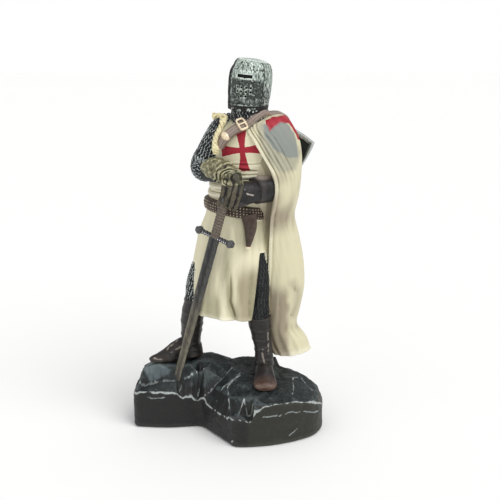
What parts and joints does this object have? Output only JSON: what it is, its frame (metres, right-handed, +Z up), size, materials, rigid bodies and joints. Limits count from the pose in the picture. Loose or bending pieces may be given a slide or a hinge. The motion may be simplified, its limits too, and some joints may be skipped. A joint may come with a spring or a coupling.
{
  "type": "medieval knight statue",
  "caption": "Standing medieval knight in great helm, surcoat and cloak, both hands on a long sword, cast in one piece with its rocky base.",
  "frame": {"origin": "middle of the base's flat underside", "axes": "+Z up, the knight faces -Y, its left hand side is +X"},
  "size_m": [0.104, 0.0602, 0.1996],
  "materials": {
    "painted_resin": "hand-painted cast resin, matt, with a dark wash in the folds"
  },
  "bodies": {
    "root": {"knight_statue": "painted_resin"}
  },
  "joints": []
}
